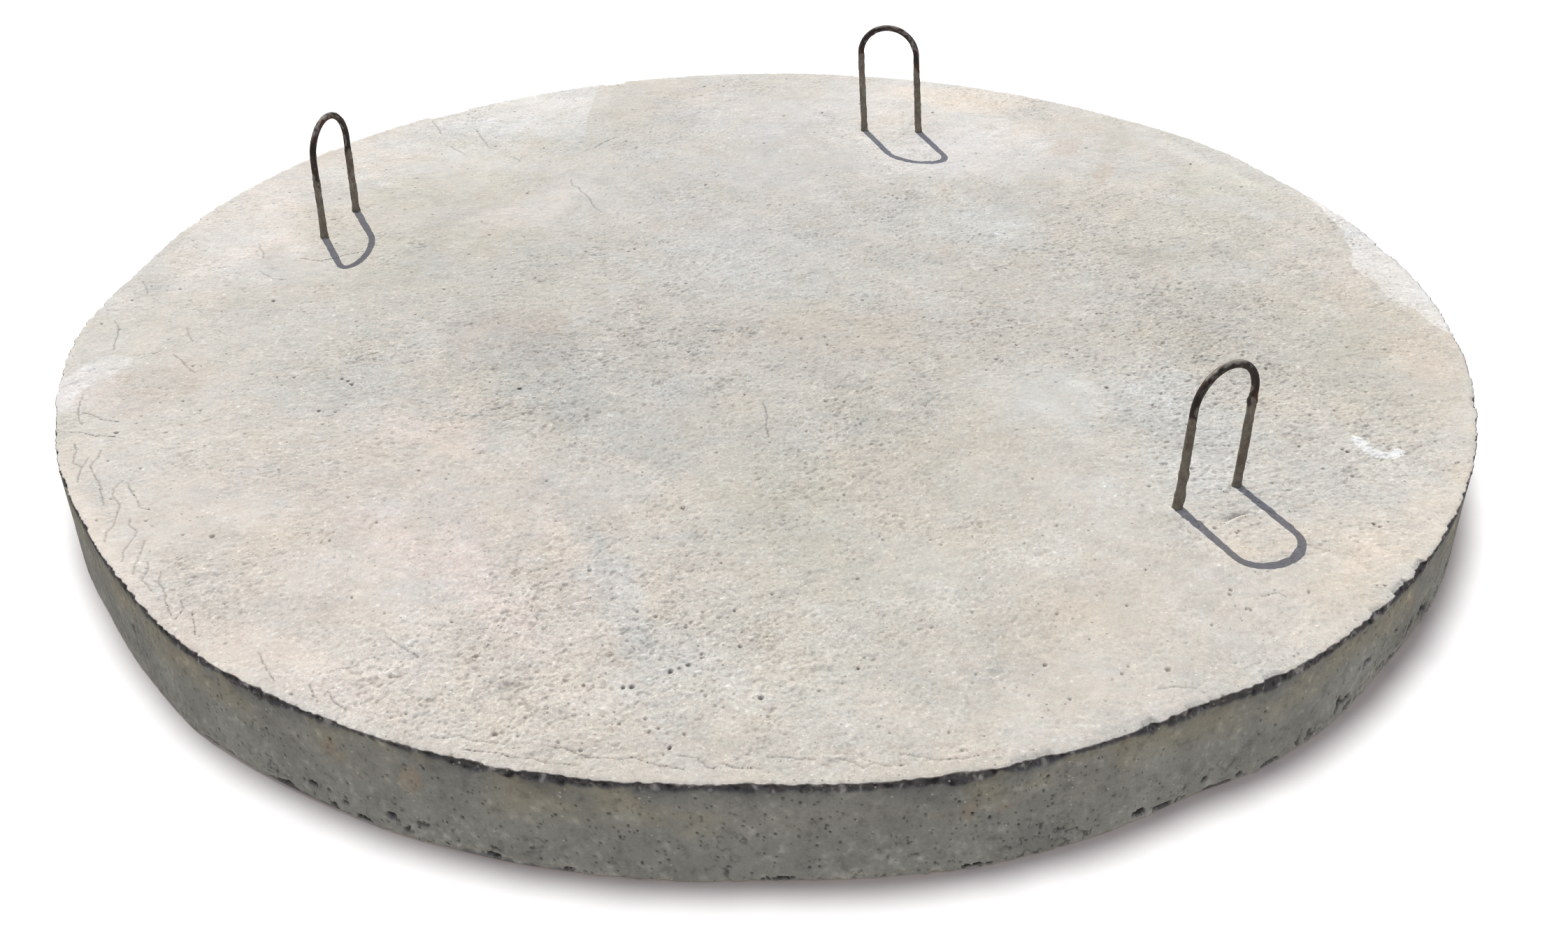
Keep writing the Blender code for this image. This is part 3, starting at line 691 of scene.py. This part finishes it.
def build_slab(material):
    # The top, with its cells laid out on a disc that the rim's outline stretches
    disc_x, disc_y, rim, quads = disc(GRID)
    radius, bearing = np.hypot(disc_x, disc_y), np.arctan2(disc_y, disc_x)
    inset, wall_tone, wall_rough, edge, chip_depth = wall_face()
    edge_at, chip_at = (
        picked(np.stack([field, field]), np.zeros(len(bearing)), wall_column(bearing), True)
        for field in (edge, chip_depth)
    )
    limit = RADIUS - outline_inset(bearing) - edge_at * ramp(0.97, 1, radius)
    x, y = disc_x * limit, disc_y * limit
    z, tint, stipple, shift = top_face(x, y)
    inner = radius < 0.995
    x, y = x + shift[:, 0] * inner, y + shift[:, 1] * inner
    from_rim = (1 - radius) * limit
    z = z * ramp(0, 14, from_rim) - 0.7 * (1 - ramp(0, 3.5, from_rim))
    z = np.minimum(z - chip_at * (1 - ramp(0, 6, from_rim)) * 0.8, 3)
    broken = (1 - ramp(1, 5, from_rim)) * ramp(0.5, 1.5, chip_at)
    top_tone = np.array([0.503, 0.481, 0.446]) * np.exp(tint) * (1 + 0.06 * broken[:, None])
    parts = [(np.stack([x, y, THICK + z], -1), top_tone, np.maximum(stipple, broken))]
    faces = [quads]

    # The wall, ring by ring, closest together in the band
    bearing = bearing[rim]
    column = wall_column(bearing)
    outline = RADIUS - outline_inset(bearing)
    depths = [np.arange(0.7, 12, 0.8), np.arange(12.6, 24, 1.4), np.arange(25.5, THICK - 3, 1.75)]
    above, first = rim, (GRID + 1) ** 2
    for depth in np.concatenate([*depths, [THICK - 2.2, THICK - 0.9]]):
        row = np.full(len(rim), depth)
        down = np.maximum(depth, -z[rim] + 0.25 * depth / (depth + 3))
        reach = np.minimum(outline - picked(inset, row, column, True), RADIUS - 0.2)
        ring = np.stack([reach * np.cos(bearing), reach * np.sin(bearing), THICK - down], -1)
        parts.append((ring, picked(wall_tone, row, column, True), picked(wall_rough, row, column, True)))
        below = first + np.arange(len(rim))
        faces.append(np.stack([above, below, np.roll(below, -1), np.roll(above, -1)], -1))
        above, first = below, first + len(rim)

    # The underside, whose rim has half as many points as the last ring
    low_points, low_tone, low_rim, low_quads = underside()
    parts.append((low_points, low_tone, np.full(len(low_points), 0.15)))
    low, even, odd = low_rim + first, above[0::2], above[1::2]
    faces += [low_quads + first, np.stack([even, low, odd], -1)]
    faces.append(np.stack([odd, low, np.roll(low, -1)], -1))
    faces.append(np.stack([odd, np.roll(low, -1), np.roll(even, -1)], -1))

    points, tones, grains = (np.concatenate(each) for each in zip(*parts))
    slab = mesh_object("slab_casting", points / 1000, faces, material)
    paint(slab, tones, grains)
    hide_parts("concrete_slab")
    return slab


def arc(x, z, radius, start, end, count):
    """Points round a centre, from one angle to another in quarter turns."""
    angles = np.linspace(start, end, count) * math.pi / 2
    return [(x + radius * math.cos(angle), z + radius * math.sin(angle)) for angle in angles]


def loop_line(spacing, height, lean):
    """The loop's centre line in its own plane, in mm, from toe to toe; 0 is the slab's top."""
    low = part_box("lifting_loop_left")[0].z * 1000 + 4 - THICK
    leg, bend = spacing / 2, 20
    toe = leg + 240 + low
    half = [(toe, low + 32)] + arc(toe - bend, low + bend, bend, 0, -1, 9)
    half += [(x, low) for x in np.arange(toe - bend - 4, leg + bend, -4)]
    half += arc(leg + bend, low + bend, bend, -1, -2, 11)
    half += [(leg, z) for z in np.arange(low + bend + 1.5, height - leg, 1.5)]
    half += arc(0, height - leg, leg, 0, 1, 44)
    path = np.array([(-x, z) for x, z in half] + [(x, z) for x, z in reversed(half[:-1])])
    path[:, 0] += lean * np.maximum(path[:, 1], 0) / height
    return path[np.concatenate([[True], np.hypot(*np.diff(path, axis=0).T) > 0.3])]


def build_loop(name, distance, bearing, plane, spacing, height, lean, coats, seed, material):
    path = loop_line(spacing, height - 0.6, lean)
    count, sides = len(path), 28
    into = np.gradient(path, axis=0)
    into /= np.hypot(*into.T)[:, None]
    normal = np.stack([-into[:, 1], into[:, 0]], -1)
    length = np.concatenate([[0], np.cumsum(np.hypot(*np.diff(path, axis=0).T))])
    turn = np.arange(sides) / sides * 2 * math.pi
    shape = (int(length[-1]) * 2 + 4, sides)
    rows, columns = np.broadcast_arrays((length * 2)[:, None], np.arange(sides)[None])

    def bark(cell, offset):
        """Noise over the bar, with features about as large as cell in mm."""
        around = sides / max(3, round(25 / cell * 2))
        return picked(noise(shape, around, seed + offset, True, cell * 2), rows, columns, True)

    # The mortar coat up each leg, splashes above it and on top of the crown, and a collar at the foot
    z = path[:, 1:]
    left_leg = path[:, :1] < 0
    coat_top = np.where(left_leg, *coats)
    coat = ramp(1.2, -1.2, z - (coat_top + 4 * bark(9, 1) + 2 * bark(4, 2)))
    splash = ramp(1, 1.5, bark(6, 3) * 0.7 + 0.6 * bark(3, 4)) * (z > coat_top - 5) * 0.7
    crown = ramp(height * 0.8, height * 0.97, z)
    up = np.cos(turn)[None] * normal[:, 1:]
    crown = crown * ramp(0.1, 1, up * 0.7 + 0.3 * bark(5, 5) + 0.25 * bark(2.5, 21))
    splash = np.maximum(splash, crown)
    lumps = 0.16 * bark(5, 6) + 0.12 * bark(2.6, 7)
    collar = np.exp(-np.clip(z, 0, None) / 5) * np.clip(0.6 + 0.5 * bark(4, 10), 0, 1.8) * (z > -6)
    thick = 3.75 + 0.06 * bark(12, 8) + 0.05 * bark(3, 9)
    thick = thick + coat * np.clip(0.48 + lumps * 0.9, 0.15, 1.5) + splash * np.clip(0.35 + lumps, 0.1, 0.5)
    thick += collar
    if name == "right":
        # Clods of mortar on the left leg, and a ring of it on the other
        clods = 0.9 * bell(z, 11, 11) + 1.3 * bell(z, 36, 7) * (np.cos(turn - 2.6)[None] > 0.2)
        thick += left_leg * clods * np.clip(0.75 + 0.5 * bark(5, 11), 0.2, 1.6)
        ring = 0.9 * bell(z, 92, 3) * np.clip(1 + 0.5 * bark(4, 12), 0, 2)
        thick += ~left_leg * ring
    buried = ramp(-3, -8, z)
    thick = thick * (1 - buried) + 3.95 * buried
    thick = np.where(z > height - 6, np.minimum(thick, 3.9), thick)

    plane, bearing = math.radians(plane), math.radians(bearing)
    upward, aside = thick * np.cos(turn)[None], thick * np.sin(turn)[None]
    along = path[:, :1] + upward * normal[:, :1]
    x = distance * math.cos(bearing) + along * math.cos(plane) - aside * math.sin(plane)
    y = distance * math.sin(bearing) + along * math.sin(plane) + aside * math.cos(plane)
    points = np.stack([x, y, THICK + z + upward * normal[:, 1:]], -1).reshape(-1, 3)
    index = np.arange(count * sides).reshape(count, sides)
    right = np.roll(index, -1, axis=1)
    quads = np.stack([index[:-1], right[:-1], right[1:], index[1:]], -1).reshape(-1, 4)
    points = np.concatenate([points, [points[:sides].mean(0), points[-sides:].mean(0)]]) / 1000
    cap_a = np.stack([right[0], index[0], np.full(sides, count * sides)], -1)
    cap_b = np.stack([index[-1], right[-1], np.full(sides, count * sides + 1)], -1)

    steel = toned(np.exp(0.25 * bark(5, 13)), 0.036, 0.026, 0.022)
    rust = ramp(0, 1.2, bark(10, 14) + 0.4 * bark(3, 15))
    steel = blended(steel, (0.088, 0.036, 0.021), rust)
    mortar = toned(np.exp(0.06 * bark(8, 16) + 0.12 * bark(3, 17)), 0.2, 0.176, 0.138)
    stain = ramp(0.9, 1.6, bark(11, 18) + 0.4 * bark(4, 19))
    mortar = blended(mortar, (0.12, 0.075, 0.055), 0.35 * stain)
    pale = toned(np.exp(0.12 * bark(3, 20)), 0.31, 0.285, 0.25)
    tone = blended(blended(steel, mortar, coat), pale, splash * 0.9)
    tone = blended(tone, (0.1, 0.06, 0.045), buried).reshape(-1, 3)
    piece = mesh_object(f"loop_{name}", points, [quads, cap_a, cap_b], material)
    paint(piece, np.concatenate([tone, tone[:1], tone[-1:]]), np.append(np.maximum(coat, splash), [0, 0]))
    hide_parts(f"lifting_loop_{name}")
    return piece


def wire(tree, made, inputs):
    """Links a node's inputs to sockets, or sets them to values."""
    for name, value in dict(inputs).items():
        if isinstance(value, bpy.types.NodeSocket):
            tree.links.new(value, made.inputs[name])
        else:
            made.inputs[name].default_value = value


def add(tree, kind, inputs=(), **settings):
    made = tree.nodes.new("ShaderNode" + kind)
    for name, value in settings.items():
        setattr(made, name, value)
    wire(tree, made, inputs)
    return made


def maths(tree, operation, *values):
    return add(tree, "Math", enumerate(values), operation=operation).outputs[0]


def mixed(tree, blend, factor, a, b):
    return add(tree, "Mix", {0: factor, 6: a, 7: b}, data_type="RGBA", blend_type=blend).outputs[2]


def ranged(tree, *values):
    """A value brought from one range to another: the value, then the ends of both."""
    return add(tree, "MapRange", enumerate(values), interpolation_type="SMOOTHSTEP").outputs[0]


def grainy(tree, coords, scale, detail=2, rough=0.6):
    inputs = {"Vector": coords, "Scale": scale, "Detail": detail, "Roughness": rough}
    return add(tree, "TexNoise", inputs).outputs["Fac"]


def dots(tree, coords, grain, scale, size, more, least):
    """Spots of random size in some cells of a pattern, in more of them where grain is high."""
    cell = add(tree, "TexVoronoi", {"Vector": coords, "Scale": scale})
    pick = add(tree, "SeparateColor", {0: cell.outputs["Color"]})
    spot = maths(tree, "LESS_THAN", cell.outputs["Distance"], maths(tree, "MULTIPLY", pick.outputs[0], size))
    chosen = maths(tree, "GREATER_THAN", pick.outputs[1], maths(tree, "MULTIPLY_ADD", grain, more, least))
    return maths(tree, "MULTIPLY", spot, chosen)


def bumped(tree, height, distance, strength):
    return add(tree, "Bump", {"Height": height, "Distance": distance, "Strength": strength}).outputs[0]


def new_material(name):
    """A material with one shader, and the coordinates that its patterns follow."""
    material = bpy.data.materials.new(name)
    material.use_nodes = True
    tree = material.node_tree
    tree.nodes.clear()
    shader = add(tree, "BsdfPrincipled")
    add(tree, "OutputMaterial", {"Surface": shader.outputs[0]})
    return material, tree, shader, add(tree, "TexCoord").outputs["Object"]


def painted(tree):
    """The colour and graininess that paint stored."""
    tone, grain = (add(tree, "Attribute", attribute_name=name) for name in ("tone", "grain"))
    return tone.outputs["Color"], grain.outputs["Fac"]


def concrete_material():
    material, tree, shader, coords = new_material("weathered_concrete")
    tone, grain = painted(tree)
    broad = ranged(tree, grainy(tree, coords, 45, 4, 0.7), 0.3, 0.7, 0.965, 1.035)
    small = ranged(tree, grainy(tree, coords, 330, 2, 0.7), 0.28, 0.72, -1, 1)
    tiny = ranged(tree, grainy(tree, coords, 700, 2, 0.7), 0.28, 0.72, -1, 1)
    both = maths(tree, "ADD", maths(tree, "MULTIPLY", small, 0.55), maths(tree, "MULTIPLY", tiny, 0.75))
    factor = maths(tree, "MULTIPLY_ADD", both, maths(tree, "MULTIPLY_ADD", grain, 0.15, 0.07), broad)
    colour = mixed(tree, "MULTIPLY", 1, tone, factor)
    # Specks of white sand, and dots of painted shade for pinholes, thicker where the face is stippled
    specks = maths(tree, "MULTIPLY", dots(tree, coords, grain, 230, 0.26, -0.35, 0.93), 0.55)
    colour = mixed(tree, "MIX", specks, colour, (0.84, 0.8, 0.7, 1))
    painted_pinhole_shade = maths(tree, "MULTIPLY", dots(tree, coords, grain, 190, 0.24, -0.3, 0.95), 0.6)
    colour = mixed(tree, "MULTIPLY", painted_pinhole_shade, colour, (0.35, 0.33, 0.32, 1))
    roughness = ranged(tree, grainy(tree, coords, 120, 2), 0.3, 0.7, 0.82, 0.97)
    fine = grainy(tree, coords, 1500, 1)
    relief = maths(tree, "MULTIPLY_ADD", grainy(tree, coords, 520, 3, 0.7), 0.7, fine)
    normal = bumped(tree, relief, 0.0008, maths(tree, "MULTIPLY_ADD", grain, 0.55, 0.18))
    wire(tree, shader, {"Base Color": colour, "Roughness": roughness, "Normal": normal})
    wire(tree, shader, {"Specular IOR Level": 0.25})
    return material


def loop_material():
    material, tree, shader, coords = new_material("rusty_bar_with_mortar")
    tone, coat = painted(tree)
    small = ranged(tree, grainy(tree, coords, 420, 3, 0.7), 0.25, 0.75, 0.78, 1.22)
    tiny = ranged(tree, grainy(tree, coords, 1400, 2, 0.7), 0.25, 0.75, 0.85, 1.15)
    colour = mixed(tree, "MULTIPLY", 1, tone, maths(tree, "MULTIPLY", small, tiny))
    metallic = ranged(tree, coat, 0, 1, 0.35, 0)
    roughness = ranged(tree, coat, 0, 1, 0.62, 0.95)
    strength = maths(tree, "MULTIPLY_ADD", coat, 0.4, 0.3)
    normal = bumped(tree, grainy(tree, coords, 900, 3, 0.7), 0.0005, strength)
    wire(tree, shader, {"Base Color": colour, "Metallic": metallic, "Roughness": roughness, "Normal": normal})
    return material


def patterned_material(name, dark, light, scale, roughness, metallic, relief):
    """Two colours mixed in patches, with fine relief, for the pieces inside the slab."""
    material, tree, shader, coords = new_material(name)
    patch = ranged(tree, grainy(tree, coords, scale, 4, 0.65), 0.35, 0.65, 0, 1)
    fine = ranged(tree, grainy(tree, coords, scale * 6, 2, 0.7), 0.25, 0.75, 0.8, 1.2)
    colour = mixed(tree, "MULTIPLY", 1, mixed(tree, "MIX", patch, (*dark, 1), (*light, 1)), fine)
    varied = ranged(tree, patch, 0, 1, roughness - 0.1, roughness + 0.08)
    normal = bumped(tree, grainy(tree, coords, scale * 8, 3, 0.7), relief, 0.5)
    wire(tree, shader, {"Base Color": colour, "Metallic": metallic, "Roughness": varied, "Normal": normal})
    return material


def floor_material():
    """Pale from above, and clear from below, so that the underside can be looked at."""
    material, tree, shader, _ = new_material("pale_floor")
    wire(tree, shader, {"Base Color": (0.6, 0.52, 0.475, 1), "Roughness": 0.9, "Specular IOR Level": 0.1})
    below = add(tree, "NewGeometry").outputs["Backfacing"]
    clear = add(tree, "BsdfTransparent").outputs[0]
    either = add(tree, "MixShader", {0: below, 1: shader.outputs[0], 2: clear})
    output = next(made for made in tree.nodes if made.type == "OUTPUT_MATERIAL")
    wire(tree, output, {"Surface": either.outputs[0]})
    return material


def collection_of(name, objects):
    made = bpy.data.collections.new(name)
    for obj in objects:
        made.objects.link(obj)
    return made


def add_sun(name, direction, strength, colour, angle, receivers):
    light = bpy.data.lights.new(name, "SUN")
    light.energy = strength
    light.color = colour
    light.angle = math.radians(angle)
    lamp = bpy.data.objects.new(name, light)
    lamp.rotation_mode = "QUATERNION"
    lamp.rotation_quaternion = Vector(direction).to_track_quat("Z", "Y")
    scene.collection.objects.link(lamp)
    lamp.light_linking.receiver_collection = receivers


def add_world():
    """Warm below, with a pale band along the horizon and a darker blue sky higher up."""
    world = bpy.data.worlds.new("studio")
    world.use_nodes = True
    scene.world = world
    tree = world.node_tree
    height = add(tree, "SeparateXYZ", {0: add(tree, "TexCoord").outputs["Generated"]}).outputs[2]
    haze = ranged(tree, height, -0.06, 0.02, 0, 1)
    sky = ranged(tree, height, 0.08, 0.3, 0, 1)
    colour = mixed(tree, "MIX", haze, (0.46, 0.43, 0.37, 1), (0.8, 0.8, 0.8, 1))
    colour = mixed(tree, "MIX", sky, colour, (0.33, 0.348, 0.42, 1))
    wire(tree, tree.nodes["Background"], {"Color": colour})


def add_camera():
    data = bpy.data.cameras.new("camera")
    data.sensor_fit = "HORIZONTAL"
    data.sensor_width = 36
    data.lens = LENS
    data.clip_end = 200
    camera = bpy.data.objects.new("camera", data)
    pitch, roll = math.radians(PITCH), math.radians(ROLL)
    forward = Vector((0, math.cos(pitch), -math.sin(pitch)))
    level = Vector((1, 0, 0))
    right = level * math.cos(roll) + level.cross(forward) * math.sin(roll)
    turned = Matrix((right, right.cross(forward), -forward)).transposed().to_4x4()
    camera.matrix_world = Matrix.Translation(Vector(CAMERA) + Vector((0, 0, THICK / 1000))) @ turned
    scene.collection.objects.link(camera)
    scene.camera = camera


concrete = concrete_material()
slab = build_slab(concrete)
coated = loop_material()
shown = [slab]
for number, loop in enumerate(LOOPS):
    shown.append(build_loop(*loop, 300 + 40 * number, coated))
for piece in shown:
    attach(piece, "root")

for start, *look in INNER:
    material = patterned_material(*look)
    for name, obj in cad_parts.items():
        if name.startswith(start):
            obj.data.materials.clear()
            obj.data.materials.append(material)

corners = [(-1, -1), (1, -1), (1, 1), (-1, 1)]
corners = [(x * FLOOR_REACH, y * FLOOR_REACH, -FLOOR_DROP) for x, y in corners]
floor = mesh_object("floor", np.array(corners), [np.array([[0, 1, 2, 3]])], floor_material())
floor.visible_diffuse = False
floor.visible_glossy = False
floor.visible_shadow = False

# One sun for the object, and two for the floor alone, which keep it white and its shadow soft
on_object = collection_of("lit_object", shown + list(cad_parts.values()))
on_floor = collection_of("lit_floor", [floor])
add_sun("key", (-0.323, 0.764, 1), 3.72, (1, 0.974, 0.885), 0.25, on_object)
add_sun("key_on_floor", (-0.08, 0.178, 1), 5.3, (0.8, 0.92, 1), 20.5, on_floor)
add_sun("fill_on_floor", (0, 0, 1), 1, (0.844, 0.912, 1), 180, on_floor)
add_world()
add_camera()
scene.view_settings.view_transform = "Standard"
scene.cycles.filter_width = 1.1
